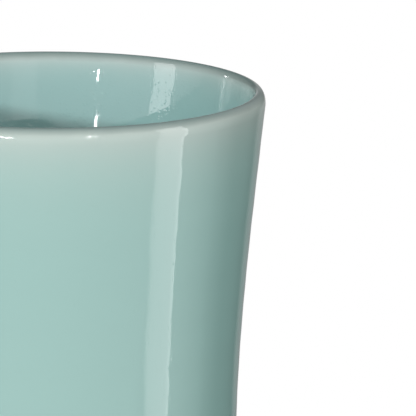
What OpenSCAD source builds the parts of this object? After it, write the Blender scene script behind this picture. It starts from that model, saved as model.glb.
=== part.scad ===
// Brush holder pot: a wheel-thrown clay body under separate coats of celadon glaze.
// Millimetres, +Z up, origin at the centre of the foot ring's resting face.

/* [Body] */
// Height from the resting face to the crest of the lip
height = 137; // [110:1:180]
// Outer diameter where the side turns into the lip
rim_d = 106; // [98:0.5:130]
// Outer diameter at the waist
waist_d = 93.6; // [84:0.2:96]
// Height of the waist
waist_z = 43.5; // [30:0.5:60]
// Height over which the side swings from its waist to its full spread
swing = 155; // [120:1:200]

/* [Wall and floor] */
// Thickness of the side wall at the lip, glaze included
rim_wall = 3.2; // [2.8:0.1:4]
// Thickness of the side wall below its thin upper part, glaze included
foot_wall = 6; // [4.6:0.1:7]
// Height over which the wall thickens below the lip
thicken_h = 27; // [22:1:40]
// Thickness of the floor, glaze included
floor_t = 7; // [5:0.5:10]
// Radius of the rounding between the side wall and the floor, inside
floor_round = 9; // [4:0.5:14]

/* [Lip] */
// Width of the lip's outer rounding, from the side to the crest
lip_out_w = 2.25; // [1.8:0.05:2.3]
// Height of the lip's outer rounding
lip_out_h = 3.9; // [2.5:0.1:6]
// Height of the lip's inner rounding
lip_in_h = 1.8; // [1:0.1:2.4]

/* [Foot] */
// Width of the foot ring's resting face
foot_ring_w = 4.6; // [3:0.1:7]
// Size of the bevel outside the resting face
foot_bevel = 1.4; // [0.8:0.1:2]
// Depth of the well under the floor, up to its glaze
well_depth = 4; // [3:0.5:6]
// Radius of the rounding between the well's side and its roof
well_round = 1.8; // [1:0.1:2]

/* [Glaze] */
// Thickness of the glaze at the lip, where it runs thin
glaze_lip = 0.25; // [0.15:0.05:0.4]
// Thickness of the glaze at the foot, where it gathers
glaze_foot = 0.7; // [0.5:0.05:0.9]
// Thickness of the glaze under the floor
glaze_well = 0.45; // [0.3:0.05:0.6]
// Height at which the outer glaze ends above the bare foot
glaze_line = 2.6; // [2.2:0.1:4]
// Height at which the well's glaze ends above the bare foot
well_glaze_line = 1.2; // [1:0.1:1.4]

/* [Hidden] */
$fn = 144;

// Number of steps along each side, and round each quarter turn
side_steps = 24;
turn_steps = 9;
side_step = 1 / side_steps;
quarter = [for (i = [0:turn_steps]) 90 * i / turn_steps];

// Levels where the lip's two roundings begin, where the floor lies and where its rounding begins
lip_z = height - lip_out_h;
lip_in_z = height - lip_in_h;
floor_z = well_depth + floor_t;
corner_z = floor_z + floor_round;
// Width of the lip's inner rounding: the rest of the wall
lip_in_w = rim_wall - lip_out_w;

// The side is half a cosine wave about the waist, scaled to reach the rim's radius at lip_z
function spread(z) = (1 - cos(180 * (z - waist_z) / swing)) / 2;
function side_r(z) = waist_d / 2 + (rim_d - waist_d) / 2 * spread(z) / spread(lip_z);
// The wall thickens evenly below the lip, then levels off at its full thickness
function levelled(u) = u / pow(1 + pow(u, 4), 1 / 4);
function wall(z) = rim_wall + (foot_wall - rim_wall) * levelled(max(0, lip_in_z - z) / thicken_h);
function inside_r(z) = side_r(z) - wall(z);
// The glaze thickens evenly from the lip down
function glaze(z) = glaze_lip + (glaze_foot - glaze_lip) * max(0, 1 - z / lip_z);

// Points up the outside from level z0 to the lip, on the glaze (under = 0) or on the clay (under = 1)
function outside_points(z0, under) = [
    for (t = [0:side_step:1 - side_step / 2])
        let (z = z0 + (lip_z - z0) * t)
            [side_r(z) - under * glaze(z), z]
];
// Points over the lip from the outside to its crest: a quarter ellipse that leans with the side
function lip_out_points(under) = [
    for (a = quarter)
        let (
            g = under * glaze_lip,
            z = lip_z + (lip_out_h - g) * sin(a)
        )
            [side_r(z) - g - (lip_out_w - g) * (1 - cos(a)), z]
];
// Points from the crest down the lip's inner rounding
function lip_in_points(under) = [
    for (a = [for (i = [1:turn_steps]) quarter[turn_steps - i]])
        let (
            g = under * glaze_lip,
            z = lip_in_z + (lip_in_h - g) * sin(a)
        )
            [inside_r(z) + g + (lip_in_w - g) * (1 - cos(a)), z]
];
// Points down the inside from under the lip to the floor's rounding
function inside_points(under) = [
    for (t = [side_step:side_step:1 - side_step / 2])
        let (z = lip_in_z + (corner_z - lip_in_z) * t)
            [inside_r(z) + under * glaze(z), z]
];
// Points round the floor's rounding, then along the floor to the axis
function floor_points(under) = concat(
    [
        for (a = quarter)
            let (
                g = under * glaze_foot,
                z = corner_z - (floor_round + g) * sin(a)
            )
                [inside_r(z) + g - (floor_round + g) * (1 - cos(a)), z]
    ],
    [[0, floor_z - under * glaze_foot]]
);
// The whole inside, from the crest's inner neighbour to the floor's centre
function hollow_points(under) = concat(
    lip_in_points(under),
    inside_points(under),
    floor_points(under)
);
function reversed(list) = [for (i = [1:len(list)]) list[len(list) - i]];

// Radii of the resting face and of the well under the floor
foot_out_r = side_r(foot_bevel) - glaze_foot - foot_bevel;
foot_in_r = foot_out_r - foot_ring_w;
well_bevel = 0.5;
well_r = foot_in_r - well_bevel;
well_roof_z = well_depth + glaze_well;

// Points of the well: up its side, round its corner and along its roof, offset into the well by g
function well_points(z0, g) = concat(
    [[well_r - g, z0]],
    [
        for (a = quarter)
            [
                well_r - g - (well_round - g) * (1 - cos(a)),
                well_roof_z - well_round + (well_round - g) * sin(a)
            ]
    ],
    [[0, well_roof_z - g]]
);

// The thrown and turned body with its cut foot ring, fired as one piece
module clay_body() {
    color([0.74, 0.62, 0.51])
        rotate_extrude()
            polygon(concat(
                outside_points(glaze_line, 1),
                lip_out_points(1),
                hollow_points(1),
                reversed(well_points(well_bevel, 0)),
                [
                    [foot_in_r, 0],
                    [foot_out_r, 0],
                    [foot_out_r + foot_bevel, foot_bevel]
                ]
            ));
}

// The coat outside, from its rolled edge above the foot to the crest of the lip
module outer_glaze() {
    edge_r = side_r(glaze_line) - glaze(glaze_line);
    edge = [
        for (a = quarter)
            [edge_r + glaze(glaze_line) * sin(a), glaze_line + glaze_foot * (1 - cos(a))]
    ];
    color([0.62, 0.78, 0.75])
        rotate_extrude()
            polygon(concat(
                edge,
                [for (p = outside_points(glaze_line + glaze_foot, 0)) if (p[1] > glaze_line + glaze_foot) p],
                lip_out_points(0),
                reversed(lip_out_points(1)),
                reversed([for (p = outside_points(glaze_line, 1)) if (p[1] > glaze_line) p])
            ));
}

// The coat inside, from the crest of the lip down the wall and over the floor
module inner_glaze() {
    crest = [lip_out_points(0)[turn_steps], lip_out_points(1)[turn_steps]];
    color([0.58, 0.75, 0.72])
        rotate_extrude()
            polygon(concat(
                [crest[1], crest[0]],
                hollow_points(0),
                reversed(hollow_points(1))
            ));
}

// The coat in the well under the floor, which stops short of the resting face
module foot_well_glaze() {
    color([0.66, 0.8, 0.77])
        rotate_extrude()
            polygon(concat(
                [[well_r, well_glaze_line]],
                well_points(well_glaze_line + glaze_well, glaze_well),
                reversed(well_points(well_glaze_line, 0))
            ));
}

clay_body();
outer_glaze();
inner_glaze();
foot_well_glaze();
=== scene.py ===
import math

import bpy
import numpy as np
from mathutils import Matrix, Vector


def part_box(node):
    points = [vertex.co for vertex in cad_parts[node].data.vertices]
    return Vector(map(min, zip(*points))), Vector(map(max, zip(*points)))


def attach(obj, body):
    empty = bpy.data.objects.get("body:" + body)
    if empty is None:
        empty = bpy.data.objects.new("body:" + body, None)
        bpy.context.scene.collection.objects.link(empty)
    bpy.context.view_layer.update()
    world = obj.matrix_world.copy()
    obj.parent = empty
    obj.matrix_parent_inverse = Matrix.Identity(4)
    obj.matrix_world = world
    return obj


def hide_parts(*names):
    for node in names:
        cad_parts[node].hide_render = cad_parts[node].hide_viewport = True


# A celadon brush pot: one turned clay body under an outer, an inner and a foot-well coat of glaze
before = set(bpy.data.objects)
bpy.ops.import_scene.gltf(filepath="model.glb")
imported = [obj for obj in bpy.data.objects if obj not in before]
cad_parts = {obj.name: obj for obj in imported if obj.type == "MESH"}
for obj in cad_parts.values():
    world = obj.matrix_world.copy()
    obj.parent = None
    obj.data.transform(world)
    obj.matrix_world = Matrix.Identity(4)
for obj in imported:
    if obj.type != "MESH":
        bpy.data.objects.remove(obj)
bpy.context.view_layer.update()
scene = bpy.context.scene
mm = 0.001
fullTurn = 2 * math.pi
onAxis = 1e-9                                      # a radius this small is the axis itself
sharpFrom = math.radians(35)                       # edges folded more than this stay crisp

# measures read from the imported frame
outerLow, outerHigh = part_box("outer_glaze")
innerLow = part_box("inner_glaze")[0]
wellLow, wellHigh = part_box("foot_well_glaze")
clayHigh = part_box("clay_body")[1]
potHeight = outerHigh.z
lipGlaze = potHeight - clayHigh.z
glazeLine = outerLow.z
wellGlazeLine = wellLow.z
wellRoof = wellHigh.z
wellRadius = wellHigh.y
print("frame read: pot", round(potHeight / mm, 1), "mm tall")

potForm = dict(
    waistRadius=46.8 * mm, waistLevel=43.5 * mm,      # outside, where the side is narrowest
    swing=155 * mm,                                   # height from the waist to the side's full spread
    rimRadius=53 * mm,                                # outside, where the side turns into the lip
    rimWall=3.2 * mm, footWall=6 * mm, thicken=27 * mm,
    lipOutWidth=2.25 * mm, lipOutHeight=3.9 * mm, lipInHeight=1.8 * mm,
    floorRound=9 * mm, footGlaze=0.7 * mm,
    wellRound=1.8 * mm, wellGlaze=0.45 * mm, wellBevel=0.5 * mm,
    footBevel=1.4 * mm, footRingWidth=4.6 * mm,
    wornCorner=0.4 * mm,                              # on the face that the pot rests on
)
# points along each stretch of an outline, and round the pot
steps = dict(
    around=360, outerLip=36, outerSide=170, outerRoll=10,
    innerLip=30, innerSide=130, innerFloor=24,
    coveredLip=8, coveredSide=40, coveredInside=30, coveredFloor=12,
    wornCorner=6, clayWell=12, wellFace=24, wellBack=16,
)
lipLevel = potHeight - potForm["lipOutHeight"]
lipInLevel = potHeight - potForm["lipInHeight"]
floorLevel = innerLow.z + potForm["footGlaze"]
cornerLevel = floorLevel + potForm["floorRound"]


# the pot's outline, as points (r, z)
def spread(z):
    # half a cosine wave about the waist: (1 - cos(pi (z - waist) / swing)) / 2
    return (1 - np.cos(math.pi * (z - potForm["waistLevel"]) / potForm["swing"])) / 2


def sideRadius(z):
    # waist + (rim - waist) spread(z) / spread(lip)
    reach = (potForm["rimRadius"] - potForm["waistRadius"]) / spread(lipLevel)
    return potForm["waistRadius"] + reach * spread(z)


def insideRadius(z):
    # side radius less a wall that thickens by u / (1 + u^4)^(1/4), with u counted down from the lip
    u = np.maximum(0, lipInLevel - z) / potForm["thicken"]
    gain = potForm["footWall"] - potForm["rimWall"]
    return sideRadius(z) - potForm["rimWall"] - gain * u / (1 + u ** 4) ** 0.25


def glazeDepth(z):
    # thin at the lip, gathering evenly towards the foot
    return lipGlaze + (potForm["footGlaze"] - lipGlaze) * np.maximum(0, 1 - z / lipLevel)


def quarterTurn(count):
    # angles from 0 to 90 degrees that crowd towards the crest: 90 (1 - (1 - t)^1.6)
    return math.pi / 2 * (1 - (1 - np.linspace(0, 1, count)) ** 1.6)


def outsideLine(low, count, under=0):
    # r = side(z), less the glaze's depth when the line runs under the glaze
    z = np.linspace(low, lipLevel, count, endpoint=False)
    return np.stack([sideRadius(z) - under * glazeDepth(z), z], axis=1)


def lipOutLine(count, under=0):
    # a quarter ellipse that leans with the side, inset by the glaze g when it runs under it:
    # r = side(z) - g - (w - g)(1 - cos a), z = lip + (h - g) sin a
    a, g = quarterTurn(count), under * lipGlaze
    z = lipLevel + (potForm["lipOutHeight"] - g) * np.sin(a)
    return np.stack([sideRadius(z) - g - (potForm["lipOutWidth"] - g) * (1 - np.cos(a)), z], axis=1)


def lipInLine(count, under=0):
    # the same inside, from the crest down: r = inside(z) + g + (w - g)(1 - cos a)
    a, g = quarterTurn(count)[::-1], under * lipGlaze
    width = potForm["rimWall"] - potForm["lipOutWidth"]
    z = lipInLevel + (potForm["lipInHeight"] - g) * np.sin(a)
    return np.stack([insideRadius(z) + g + (width - g) * (1 - np.cos(a)), z], axis=1)


def insideLine(count, under=0):
    # r = inside(z), plus the glaze's depth when the line runs under the glaze
    z = np.linspace(lipInLevel, cornerLevel, count + 1, endpoint=False)[1:]
    return np.stack([insideRadius(z) + under * glazeDepth(z), z], axis=1)


def floorLine(count, under=0):
    # round the corner, r = inside(z) + g - (c + g)(1 - cos a), then level to the axis
    g = under * potForm["footGlaze"]
    a, reach = np.linspace(0, math.pi / 2, count), potForm["floorRound"] + g
    z = cornerLevel - reach * np.sin(a)
    corner = np.stack([insideRadius(z) + g - reach * (1 - np.cos(a)), z], axis=1)
    inward = np.linspace(corner[-1, 0], 0, count)[1:]
    return np.vstack([corner, np.stack([inward, np.full(count - 1, floorLevel - g)], axis=1)])


def wellLine(low, count, cover=0.0):
    # up the well's side, round a quarter circle, then level to the axis, inset by the cover's thickness
    a, reach = np.linspace(0, math.pi / 2, count), potForm["wellRound"] - cover
    r = wellRadius - cover - reach * (1 - np.cos(a))
    z = wellRoof - potForm["wellRound"] + reach * np.sin(a)
    inward = np.linspace(r[-1], 0, count)[1:]
    roof = np.stack([inward, np.full(count - 1, wellRoof - cover)], axis=1)
    return np.vstack([[[r[0], low]], np.stack([r, z], axis=1), roof])


def smoothStep(x, low, high):
    # 0 below low, 1 above high, 3 t^2 - 2 t^3 between
    t = np.clip((x - low) / (high - low), 0, 1)
    return t * t * (3 - 2 * t)


# each outline runs anticlockwise round its cut section, so that faces point outwards
def turned(name, line, ripple=None, wobble=None):
    # every point (r, z) carried round the axis: x = (r + ripple) cos a, y = (r + ripple) sin a, z + wobble
    # a line that starts and ends on the axis closes in two poles, any other line closes on itself
    around = steps["around"]
    poled = line[0, 0] < onAxis
    ring = line[1:-1] if poled else line
    a = np.arange(around)[None, :] * fullTurn / around
    r, z = ring[:, :1] + 0 * a, ring[:, 1:] + 0 * a
    if ripple:
        r = r + ripple(a, z)
    if wobble:
        z = z + wobble(a, z)
    points = np.stack([r * np.cos(a), r * np.sin(a), z], axis=2).reshape(-1, 3)
    rows = len(ring)
    i = np.arange(rows - 1 if poled else rows)[:, None] * around
    j = np.arange(around)[None, :]
    up, on = (i + around) % (rows * around), (j + 1) % around
    faces = np.stack([i + j, i + on, up + on, up + j], axis=2).reshape(-1, 4).tolist()
    if poled:
        first, last = len(points), len(points) + 1
        points = np.vstack([points, [0, 0, line[0, 1]], [0, 0, line[-1, 1]]])
        end = (rows - 1) * around
        faces += np.stack([on[0], j[0], 0 * j[0] + first], axis=1).tolist()
        faces += np.stack([end + j[0], end + on[0], 0 * j[0] + last], axis=1).tolist()
    mesh = bpy.data.meshes.new(name)
    mesh.from_pydata(points.tolist(), [], faces)
    mesh.polygons.foreach_set("use_smooth", np.ones(len(faces), bool))
    mesh.set_sharp_from_angle(angle=sharpFrom)
    piece = bpy.data.objects.new(name, mesh)
    scene.collection.objects.link(piece)
    return piece


handMarks = dict(
    # throwing rings, broad swells and runs of glaze on the outside
    ring=0.016 * mm, ringPitch=10.6 * mm,
    swell=0.018 * mm, swellCount=9, swellPitch=31 * mm, swellTurn=0.6, swellLean=2,
    flow=0.004 * mm, flowCount=23, flowPitch=13 * mm, flowTurn=1.1, flowSway=3,
    inset=0.05 * mm,                            # keeps every mark within the plain side
    calmFoot=(3 * mm, 12 * mm), calmLip=(7 * mm, 2 * mm),
    # short rings and one long wave on the inside
    innerRing=0.034 * mm, innerPitch=13 * mm, innerLevel=125 * mm, innerCount=8, innerTurn=76,
    innerWave=0.112 * mm, innerWavePitch=45 * mm, innerWaveLevel=112.5 * mm,
    innerCalmFloor=(20 * mm, 40 * mm), innerCalmLip=(4 * mm, 0.5 * mm),
    # how far the glaze's lower edge wanders: count round, share and turn of each wave
    edge=0.35 * mm, edgeWaves=((3, 1, 0), (8, 0.5, 1), (19, 0.3, 2)),
    edgeLift=1.2, edgeFade=(1 * mm, 6 * mm),
)


def calm(z, foot, lip):
    # 0 at the foot and at the lip, 1 between, each end by a smooth step
    return smoothStep(z, *foot) * (1 - smoothStep(z, potHeight - lip[0], potHeight - lip[1]))


def outerRipple(a, z):
    # rings sin(k z + a), swells sin(n a) sin(k z) and glaze flow sin(n a + sway), each faint
    m = handMarks
    ring = m["ring"] * np.sin(fullTurn * z / m["ringPitch"] + a)
    lean = np.sin(fullTurn * z / m["swellPitch"] + m["swellLean"] * a)
    swell = m["swell"] * np.sin(m["swellCount"] * a + m["swellTurn"]) * lean
    sway = m["flowSway"] * np.sin(fullTurn * z / m["flowPitch"] + a)
    flow = m["flow"] * np.sin(m["flowCount"] * a + m["flowTurn"] + sway)
    return calm(z, m["calmFoot"], m["calmLip"]) * (ring + swell + flow - m["inset"])


def innerRipple(a, z):
    # a long wave W sin(k (z - level)) less short rings R sin(k (z - level) + n (a - turn))
    m = handMarks
    wave = m["innerWave"] * np.sin(fullTurn * (z - m["innerWaveLevel"]) / m["innerWavePitch"])
    lead = m["innerCount"] * (a - math.radians(m["innerTurn"]))
    ring = m["innerRing"] * np.sin(fullTurn * (z - m["innerLevel"]) / m["innerPitch"] + lead)
    return calm(z, m["innerCalmFloor"], m["innerCalmLip"]) * (wave - ring)


def edgeWobble(a, z):
    # the glaze stopped unevenly above the foot: the sum of share sin(n a + turn), fading out upwards
    m = handMarks
    wave = sum(share * np.sin(count * a + turn) for count, share, turn in m["edgeWaves"])
    total = sum(share for count, share, turn in m["edgeWaves"])
    near = 1 - smoothStep(z, *(glazeLine + fade for fade in m["edgeFade"]))
    return m["edge"] / total * (wave + m["edgeLift"]) * near


def coveredOutside():
    # the line between clay and outer glaze, from the glaze's lower edge up to the crest
    return np.vstack([outsideLine(glazeLine, steps["coveredSide"], 1), lipOutLine(steps["coveredLip"], 1)])


def coveredInside():
    # the line between clay and inner glaze, from the crest down to the middle of the floor
    return np.vstack([lipInLine(steps["coveredLip"], 1), insideLine(steps["coveredInside"], 1),
                      floorLine(steps["coveredFloor"], 1)])


def outerOutline():
    # the lower edge rolls under in a quarter circle, then up the side, over the lip and back down the clay
    a = np.linspace(0, math.pi / 2, steps["outerRoll"])[:-1]
    g, root = potForm["footGlaze"], sideRadius(glazeLine) - glazeDepth(glazeLine)
    rolled = np.stack([root + g * np.sin(a), glazeLine + g * (1 - np.cos(a))], axis=1)
    side = outsideLine(glazeLine + g, steps["outerSide"])
    return np.vstack([rolled, side, lipOutLine(steps["outerLip"]), coveredOutside()[:0:-1]])


def innerOutline():
    # up the clay from the middle of the floor, then over the crest and down the glaze again
    return np.vstack([coveredInside()[::-1], lipInLine(steps["innerLip"]), insideLine(steps["innerSide"]),
                      floorLine(steps["innerFloor"])])


def clayOutline():
    # from the middle of the foot well round the resting ring, up the side and down the inside to the floor
    out = sideRadius(potForm["footBevel"]) - potForm["footGlaze"] - potForm["footBevel"]
    a, soft = np.linspace(0, math.pi / 2, steps["wornCorner"]), potForm["wornCorner"]
    inner, outer = out - potForm["footRingWidth"] + soft, out - soft
    ring = np.stack([np.concatenate([inner - soft * np.cos(a), outer + soft * np.sin(a)]),
                     np.concatenate([soft * (1 - np.sin(a)), soft * (1 - np.cos(a))])], axis=1)
    bevel = [[out + potForm["footBevel"], potForm["footBevel"] + soft]]
    well = wellLine(potForm["wellBevel"] + soft, steps["clayWell"])[::-1]
    return np.vstack([well, ring, bevel, coveredOutside(), coveredInside()[1:]])


def wellOutline():
    # out along the glaze and back along the clay
    g = potForm["wellGlaze"]
    face = wellLine(wellGlazeLine + g, steps["wellFace"], g)[::-1]
    return np.vstack([face, wellLine(wellGlazeLine, steps["wellBack"])])


outerCoat = turned("outer_coat", outerOutline(), outerRipple, edgeWobble)
innerCoat = turned("inner_coat", innerOutline(), innerRipple)
clay = turned("turned_clay", clayOutline())
wellCoat = turned("foot_well_coat", wellOutline())
places = (
    (outerCoat, "outer_glaze", "outer_celadon"),
    (innerCoat, "inner_glaze", "inner_celadon"),
    (clay, "clay_body", "bare_clay"),
    (wellCoat, "foot_well_glaze", "well_celadon"),
)
for piece, node, slot in places:
    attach(piece, "root")
    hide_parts(node)
print("four pieces turned")


class Wire:
    # a shader socket that Python's operators reckon with, by adding Math nodes
    def __init__(self, graph, socket):
        self.graph, self.socket = graph, socket

    def math(self, operation, *values):
        return self.graph.node("ShaderNodeMath", {"operation": operation}, values)

    def __add__(self, other):
        return self.math("ADD", self, other)

    def __sub__(self, other):
        return self.math("SUBTRACT", self, other)

    def __rsub__(self, other):
        return self.math("SUBTRACT", other, self)

    def __mul__(self, other):
        return self.math("MULTIPLY", self, other)

    def __truediv__(self, other):
        return self.math("DIVIDE", self, other)

    def __rtruediv__(self, other):
        return self.math("DIVIDE", other, self)

    def __pow__(self, other):
        return self.math("POWER", self, other)

    def over(self, level):
        return self.math("MAXIMUM", self, level)

    def exp(self):
        return self.math("EXPONENT", self)

    def above(self, level):
        return self.math("GREATER_THAN", self, level)

    __radd__ = __add__
    __rmul__ = __mul__


class Graph:
    # a node tree under construction
    def __init__(self, tree):
        self.tree = tree

    def node(self, kind, settings=None, values=(), out=0):
        # the node's type, its settings, then the values or links of its sockets, by place or by name
        made = self.tree.nodes.new(kind)
        settings = dict(settings or {})
        stops = settings.pop("stops", ())
        for place, (at, colour) in enumerate(stops):
            stop = made.color_ramp.elements[place] if place < 2 else made.color_ramp.elements.new(at)
            stop.position, stop.color = at, (*colour, 1)
        for name, value in settings.items():
            setattr(made, name, value)
        for key, value in (values.items() if isinstance(values, dict) else enumerate(values)):
            if isinstance(value, Wire):
                self.tree.links.new(value.socket, made.inputs[key])
            else:
                made.inputs[key].default_value = value
        return Wire(self, made.outputs[out])

    def mix(self, amount, first, second):
        # a colour between two colours
        first, second = ((*c, 1) if isinstance(c, tuple) else c for c in (first, second))
        return self.node("ShaderNodeMix", {"data_type": "RGBA"}, {0: amount, 6: first, 7: second}, 2)

    def ramp(self, value, low, high):
        # 0 at low, 1 at high, smooth between
        return self.node("ShaderNodeMapRange", {"interpolation_type": "SMOOTHSTEP"},
                         {"Value": value, "From Min": low, "From Max": high})

    def colours(self, value, stops):
        return self.node("ShaderNodeValToRGB", {"stops": stops}, [value])

    def noise(self, where, scale, detail=2.0, rough=0.5):
        values = {"Vector": where, "Scale": scale, "Detail": detail, "Roughness": rough}
        return self.node("ShaderNodeTexNoise", {}, values)

    def bump(self, height, distance, strength=1.0, under=None):
        values = {"Height": height, "Distance": distance, "Strength": strength}
        return self.node("ShaderNodeBump", {}, {**values, "Normal": under} if under else values)


def newMaterial(name, fixed):
    # a Principled surface with its fixed sockets set, and the graph that feeds the rest
    material = bpy.data.materials.new(name)
    material.use_nodes = True
    shader = material.node_tree.nodes["Principled BSDF"]
    for socket, value in fixed.items():
        shader.inputs[socket].default_value = value
    graph = Graph(material.node_tree)
    where = graph.node("ShaderNodeTexCoord", out="Object")
    return material, shader, graph, where


def feed(graph, shader, **sockets):
    for name, wire in sockets.items():
        graph.tree.links.new(wire.socket, shader.inputs[name.replace("_", " ")])


# run is the depth in which the glaze deepens from thin to deep; the crest colour is dark: partly the grey
# body showing through the thin glaze, partly painted shade on the up-facing crest, which gets little light
outerLook = dict(deep=(0.330, 0.550, 0.509), thin=(0.565, 0.632, 0.588), run=7.5 * mm,
                 bare=(0.26, 0.35, 0.335), bareFrom=0.1 * mm, bareTo=1.65 * mm, bubbly=0.20)
# the inner deep colour is a little bluer than the outer one: a painted tint of light, standing in for the
# bluer light inside the pot
innerLook = dict(deep=(0.331, 0.553, 0.535), thin=(0.75, 0.75, 0.705), run=2.4 * mm,
                 bare=(0.25, 0.34, 0.325), bareFrom=0.2 * mm, bareTo=2.3 * mm, bubbly=0.6)
wellLook = dict(deep=(0.40, 0.60, 0.56), thin=(0.62, 0.66, 0.58), run=0, bubbly=0.25)
# each pattern's scale and strength
glazeTint = dict(
    streak=(90, 0.02), streakDraw=0.12, streakRun=0.3,   # drawn down the side
    cloud=(38, 0.04), fine=(1500, 0.025), uneven=(130, 0.5),
    pooling=(-0.1, 0.9, 0.4),                            # where nothing ran, the clouds alone thin it
    specks=(75, 0.55), speckShare=0.14, speckEdge=(0.008, 0.016), speckColour=(0.16, 0.17, 0.13),
)
glazeSkin = dict(
    roughness=0.02, roughen=(60, 0.02),
    orangePeel=(260, 0.004 * mm), ripple=(800, 0.0015 * mm),
    bubbles=(1100, 0.012 * mm), bubbleEdge=0.5,
    speckLift=0.05 * mm, speckSoft=0.6,
)


def celadon(name, look):
    material, shader, graph, where = newMaterial(name, {"IOR": 1.5})
    tint, skin = glazeTint, glazeSkin

    def waver(scale, strength):
        # noise about nought, between plus and minus half the strength
        return (graph.noise(where, scale, 2) - 0.5) * strength

    z = graph.node("ShaderNodeSeparateXYZ", {}, [where], out=2)
    depth = potHeight - z
    # the glaze ran off the lip: its colour is pale there and deepens as 1 - exp(-depth / run),
    # and at the very crest a dark colour is laid over it, fading with depth: partly the grey body showing
    # through, partly painted shade
    drawn = graph.node("ShaderNodeMapping", {}, {"Vector": where, "Scale": (1, 1, tint["streakDraw"])})
    streak = graph.noise(drawn, tint["streak"][0], 2) - 0.5
    cloud = graph.noise(where, tint["cloud"][0], 3) - 0.5
    if look["run"]:
        thin = (depth * (1 + streak * tint["streakRun"]) / -look["run"]).exp()
    else:
        low, high, most = tint["pooling"]
        thin = graph.ramp(cloud, low, high) * most
    thin = thin + cloud * tint["cloud"][1] + waver(*tint["fine"]) + streak * tint["streak"][1]
    colour = graph.mix(thin, look["deep"], look["thin"])
    # painted shade on the crest, mixed with the grey body showing through the thin glaze
    if look["run"]:
        uneven = depth * (1 + waver(*tint["uneven"]))
        bare = graph.node("ShaderNodeMapRange", {}, {"Value": uneven, "From Min": look["bareTo"],
                                                     "From Max": look["bareFrom"]})
        colour = graph.mix(bare, colour, look["bare"])
    # sparse iron specks, a third of a millimetre wide
    cells = dict(Vector=where, Scale=tint["specks"][0])
    pick = graph.node("ShaderNodeSeparateColor", {}, [graph.node("ShaderNodeTexVoronoi", {}, cells, out=1)])
    near = graph.node("ShaderNodeTexVoronoi", {}, cells)
    speck = (1 - graph.ramp(near, *tint["speckEdge"])) * pick.above(1 - tint["speckShare"])
    colour = graph.mix(speck * tint["specks"][1], colour, tint["speckColour"])
    # the skin: broad orange peel, fine ripple, and round bubbles that barely lift it
    scale, lift = skin["bubbles"]
    spots = dict(Vector=where, Scale=scale)
    bubble = 1 - graph.ramp(graph.node("ShaderNodeTexVoronoi", {}, spots), 0, skin["bubbleEdge"])
    kept = graph.node("ShaderNodeSeparateColor", {}, [graph.node("ShaderNodeTexVoronoi", {}, spots, out=1)])
    bubble = bubble * kept.above(1 - look["bubbly"])
    relief = None
    for fineness, height in (skin["orangePeel"], skin["ripple"]):
        relief = graph.bump(graph.noise(where, fineness, 2), height, under=relief)
    relief = graph.bump(bubble, lift, under=relief)
    relief = graph.bump(speck, skin["speckLift"], skin["speckSoft"], relief)
    scale, strength = skin["roughen"]
    rough = skin["roughness"] + graph.noise(where, scale, 2) * strength
    feed(graph, shader, Base_Color=colour, Normal=relief, Roughness=rough)
    return material


clayLook = dict(
    body=(0.60, 0.53, 0.43), flash=(0.46, 0.25, 0.14), sand=(0.72, 0.64, 0.52), iron=(0.12, 0.07, 0.04),
    flashHeight=3 * mm, flashShare=0.55, patchScale=70, patchEdge=(0.4, 0.65), patchShare=0.4,
    grainScale=900, sandEdge=(0.35, 0.7), sandShare=0.3,
    ironScale=420, ironEdge=(0.70, 0.76), ironShare=0.8,
    ringScale=260, ringHeight=0.05 * mm, ringSoft=0.5, grainHeight=0.12 * mm, grainSoft=0.8,
    roughness=0.72, roughen=0.2,
)


def bareClay(look):
    material, shader, graph, where = newMaterial("bare_clay", {"IOR": 1.45})
    z = graph.node("ShaderNodeSeparateXYZ", {}, [where], out=2)
    grain = graph.noise(where, look["grainScale"], 4, 0.6)
    patch = graph.ramp(graph.noise(where, look["patchScale"], 3), *look["patchEdge"])
    iron = graph.ramp(graph.noise(where, look["ironScale"], 1), *look["ironEdge"])
    # the bare ring took an orange flash in the kiln, strongest beside the glaze
    flash = graph.ramp(z, 0, look["flashHeight"]) * look["flashShare"] + patch * look["patchShare"]
    colour = graph.mix(flash, look["body"], look["flash"])
    colour = graph.mix(graph.ramp(grain, *look["sandEdge"]) * look["sandShare"], colour, look["sand"])
    colour = graph.mix(iron * look["ironShare"], colour, look["iron"])
    rings = graph.node("ShaderNodeTexWave", {"wave_type": "RINGS", "rings_direction": "Z"},
                       {"Vector": where, "Scale": look["ringScale"], "Distortion": 1.5, "Detail": 2})
    relief = graph.bump(rings, look["ringHeight"], look["ringSoft"])
    relief = graph.bump(grain, look["grainHeight"], look["grainSoft"], relief)
    rough = look["roughness"] + grain * look["roughen"]
    feed(graph, shader, Base_Color=colour, Roughness=rough, Normal=relief)
    return material


outerCoat.data.materials.append(celadon("outer_celadon", outerLook))
innerCoat.data.materials.append(celadon("inner_celadon", innerLook))
wellCoat.data.materials.append(celadon("well_celadon", wellLook))
clay.data.materials.append(bareClay(clayLook))
print("glazes and bare clay mixed")


def direction(turn, rise):
    # unit vector; the turn is counted from the front towards the right, the rise from level
    t, e = math.radians(turn), math.radians(rise)
    return Vector((math.sin(t) * math.cos(e), -math.cos(t) * math.cos(e), math.sin(e)))


# a small hard key, a soft fill, a rear lamp, the floor's own light, and small lamps that are only mirrored
lamps = dict(
    key=dict(turn=-29.3, rise=10.8, away=1.2, wide=0.11, tall=0.055, watts=7.0, mirrored=False),
    spark=dict(turn=-29.3, rise=12.3, away=1.2, wide=0.030, tall=0.014, watts=0.10, lights=False),
    fill=dict(turn=16.5, rise=14, away=1.4, wide=0.40, tall=0.50, watts=0.26),
    rear=dict(turn=-165, rise=4, away=1.2, wide=0.5, tall=0.5, watts=4, mirrored=False),
    leftGlint=dict(turn=-23, rise=10.5, away=1.2, wide=0.14, tall=0.024, watts=2.4, lights=False),
    rightGlint=dict(turn=21.5, rise=15.3, away=1.2, wide=0.15, tall=0.02, watts=1.5, lights=False),
    streak=dict(turn=-122.3, rise=0.7, away=1.0, wide=0.060, tall=0.090, watts=0.45, lights=False),
    floorOnly=dict(turn=10, rise=80, away=1.1, wide=0.8, tall=0.8, watts=7),
)
aim = Vector((0, 0, 0.13))


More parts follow.
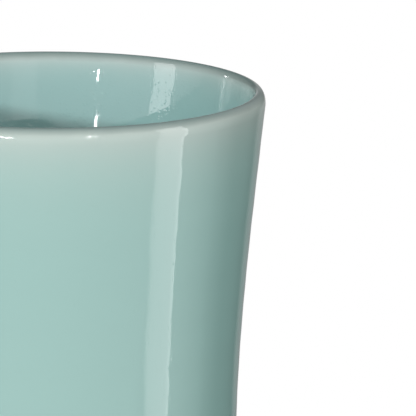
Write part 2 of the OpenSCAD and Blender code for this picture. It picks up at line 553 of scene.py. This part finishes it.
def lamp(name, turn, rise, away, wide, tall, watts, mirrored=True, lights=True):
    # an oval lamp facing the pot; some are only mirrored in the glaze and some only light it
    light = bpy.data.lights.new(name, "AREA")
    light.shape = "ELLIPSE"
    light.size, light.size_y, light.energy = wide, tall, watts
    holder = bpy.data.objects.new(name, light)
    out = direction(turn, rise)
    facing = out.to_track_quat("Z", "Y").to_matrix().to_4x4()
    holder.matrix_world = Matrix.Translation(aim + out * away) @ facing
    holder.visible_camera = False
    holder.visible_glossy, holder.visible_diffuse = mirrored, lights
    scene.collection.objects.link(holder)
    return holder


def listed(name, *things):
    # a collection that only lamps read
    only = bpy.data.collections.new(name)
    for thing in things:
        only.objects.link(thing)
    return only


def shineOnly(name, *receivers):
    # a lamp that lights the named things and nothing else
    hung[name].light_linking.receiver_collection = listed(name + "Receivers", *receivers)


hung = {name: lamp(name, **setting) for name, setting in lamps.items()}
shineOnly("leftGlint", outerCoat)
shineOnly("rightGlint", outerCoat)

# radiance across a panel, from its soft edge to the bright rim at its hard edge
softPanel = ((0, 1.5), (0.06, 2.4), (0.12, 3.1), (0.18, 3.5), (0.3, 3.65), (0.5, 3.8), (0.8, 4.0),
             (0.88, 4.2), (0.93, 5.0), (1, 5.0))
evenPanel = ((0, 4.9), (1, 4.9))
panels = dict(
    rightPanel=dict(near=56.4, far=74.8, away=1.0, low=-0.85, high=0.62, profile=softPanel, lights=0.57),
    leftPanel=dict(near=-64.6, far=-79.0, away=1.0, low=-0.85, high=0.45, profile=evenPanel, lights=0.57),
)


def panel(name, near, far, away, low, high, profile, lights):
    # a flat upright sheet between two bearings, facing the pot; u runs from the near to the far bearing
    # what the glaze mirrors is the profile itself, and what it lights is a share of it
    ends = [direction(turn, 0) * away for turn in (near, far)]
    corners = [(*ends[0].xy, low), (*ends[1].xy, low), (*ends[1].xy, high), (*ends[0].xy, high)]
    mesh = bpy.data.meshes.new(name)
    mesh.from_pydata(corners, [], [(0, 1, 2, 3)])
    mesh.uv_layers.new(name="across").data.foreach_set("uv", [0, 0, 1, 0, 1, 1, 0, 1])
    material = bpy.data.materials.new(name)
    material.use_nodes = True
    graph = Graph(material.node_tree)
    across = graph.node("ShaderNodeSeparateXYZ", {}, [graph.node("ShaderNodeUVMap", {"uv_map": "across"})])
    peak = profile[-1][1]
    stops = [(at, (value / peak,) * 3) for at, value in profile]
    mirror = graph.node("ShaderNodeLightPath", out="Is Glossy Ray")
    strength = (mirror * (1 - lights) + lights) * peak
    profiled = graph.colours(across, stops)
    glow = graph.node("ShaderNodeEmission", {}, {"Color": profiled, "Strength": strength})
    graph.tree.links.new(glow.socket, material.node_tree.nodes["Material Output"].inputs["Surface"])
    mesh.materials.append(material)
    sheet = bpy.data.objects.new(name, mesh)
    sheet.visible_camera = False
    scene.collection.objects.link(sheet)


for name, setting in panels.items():
    panel(name, **setting)
print("lamps and panels hung")

room = dict(
    seen=1.0,                                      # what the camera sees behind the floor
    # turn, rise, sharpness and strength of each soft part of the light
    lobes=dict(front=(7.4, 25, 6, 1.08), level=(-4, -8, 7, 0.64), right=(88, -42, 5, 0.44),
               side=(112, 28, 4, 0.50), top=(100, 68, 3, 0.30), back=(150, 0, 5, 0.31),
               left=(-140, 5, 5, 0.30)),
    # what the glaze mirrors: strengths, and the limits of each part behind the pot and in height
    gloss=0.02,
    table=1.6, tableBehind=(-0.47, 0.56), tableAbove=(0.05, 0.60),
    backdrop=0.26, backdropBehind=(0.79, 0.88), backdropAbove=(-0.14, -0.08),
    sheens=((150, 30, 12, 0.5), (180, 1, 50, 0.7)),
)


def fillRoom():
    # each lobe is strength max(0, cos angle)^sharpness about its own direction
    world = bpy.data.worlds.new("room")
    scene.world = world
    world.use_nodes = True
    world.cycles.sampling_method = "NONE"          # the room differs by kind of ray, which a map can't hold
    graph = Graph(world.node_tree)
    out = graph.node("ShaderNodeTexCoord")

    def toward(turn, rise):
        pair = [out, direction(turn, rise)]
        return graph.node("ShaderNodeVectorMath", {"operation": "DOT_PRODUCT"}, pair, 1)

    def lobe(turn, rise, sharp, strength):
        return toward(turn, rise).over(0) ** sharp * strength

    soft = sum(lobe(*part) for part in room["lobes"].values())
    behind = toward(180, 0)
    height = graph.node("ShaderNodeSeparateXYZ", {}, [out], 2)
    # a lit table and wall in front, a backdrop behind and the sheens
    table = (1 - graph.ramp(behind, *room["tableBehind"])) * (1 - graph.ramp(height, *room["tableAbove"]))
    backdrop = graph.ramp(behind, *room["backdropBehind"]) * (1 - graph.ramp(height, *room["backdropAbove"]))
    gloss = table * room["table"] + backdrop * room["backdrop"] + room["gloss"]
    gloss = gloss + sum(lobe(*part) for part in room["sheens"])
    seen = graph.node("ShaderNodeLightPath", out="Is Camera Ray")
    mirror = graph.node("ShaderNodeLightPath", out="Is Glossy Ray")
    lit = mirror * gloss + (1 - mirror) * soft
    lit = seen * room["seen"] + (1 - seen) * lit
    background = world.node_tree.nodes["Background"]
    graph.tree.links.new(lit.socket, background.inputs["Strength"])
    background.inputs["Color"].default_value = (1, 1, 1, 1)


fillRoom()

# a pale disc that fades into the white around it
floorLook = dict(radius=0.42, gap=0.02 * mm, around=128, fadeFrom=0.085, fadeTo=0.175, roughness=0.7,
                 pale=(0.84, 0.84, 0.83), fleck=(0.74, 0.74, 0.73), fleckScale=900, fleckShare=0.1)


def layFloor(look):
    # x = r cos a, y = r sin a, a hair below the foot
    a = np.arange(look["around"]) * fullTurn / look["around"]
    level = np.full(look["around"], -look["gap"])
    edge = np.stack([look["radius"] * np.cos(a), look["radius"] * np.sin(a), level], axis=1)
    mesh = bpy.data.meshes.new("floor")
    mesh.from_pydata(edge.tolist(), [], [list(range(look["around"]))])
    fixed = {"Roughness": look["roughness"], "Specular IOR Level": 0.0}
    material, shader, graph, where = newMaterial("floor", fixed)
    fleck = graph.noise(where, look["fleckScale"], 2) * look["fleckShare"]
    feed(graph, shader, Base_Color=graph.mix(fleck, look["pale"], look["fleck"]))
    away = graph.node("ShaderNodeVectorMath", {"operation": "LENGTH"}, [where], 1)
    faded = graph.ramp(away, look["fadeFrom"], look["fadeTo"])
    white = graph.node("ShaderNodeEmission", {}, {"Color": (1, 1, 1, 1), "Strength": 1.0})
    surface = graph.node("ShaderNodeMixShader", {}, [faded, Wire(graph, shader.outputs[0]), white])
    graph.tree.links.new(surface.socket, material.node_tree.nodes["Material Output"].inputs["Surface"])
    mesh.materials.append(material)
    floor = bpy.data.objects.new("floor", mesh)
    scene.collection.objects.link(floor)
    floor.visible_diffuse = floor.visible_glossy = False
    return floor


floor = layFloor(floorLook)
shineOnly("floorOnly", floor)
# the streak is bounced light inside the pot, which nothing but the floor can block
shineOnly("streak", innerCoat)
hung["streak"].light_linking.blocker_collection = listed("streakBlockers", floor)
print("room and floor in place")

# the camera, at the eye of someone seated at the desk
view = dict(distance=800 * mm, rise=149.4 * mm, pan=2.800, tilt=12.659, roll=0.644, lens=284.8, sensor=36)
pan, tilt, roll = (math.radians(view[k]) for k in ("pan", "tilt", "roll"))
forward = np.array([math.sin(pan) * math.cos(tilt), math.cos(pan) * math.cos(tilt), -math.sin(tilt)])
level = np.array([math.cos(pan), -math.sin(pan), 0])
upward = np.cross(level, forward)
right = level * math.cos(roll) + upward * math.sin(roll)
up = -level * math.sin(roll) + upward * math.cos(roll)
camera = bpy.data.objects.new("camera", bpy.data.cameras.new("camera"))
camera.data.lens, camera.data.sensor_width = view["lens"], view["sensor"]
turn = Matrix(np.array([right, up, -forward]).T.tolist()).to_4x4()
camera.matrix_world = Matrix.Translation((0, -view["distance"], potHeight + view["rise"])) @ turn
scene.collection.objects.link(camera)
scene.camera = camera
scene.view_settings.view_transform = "Standard"
print("camera set")
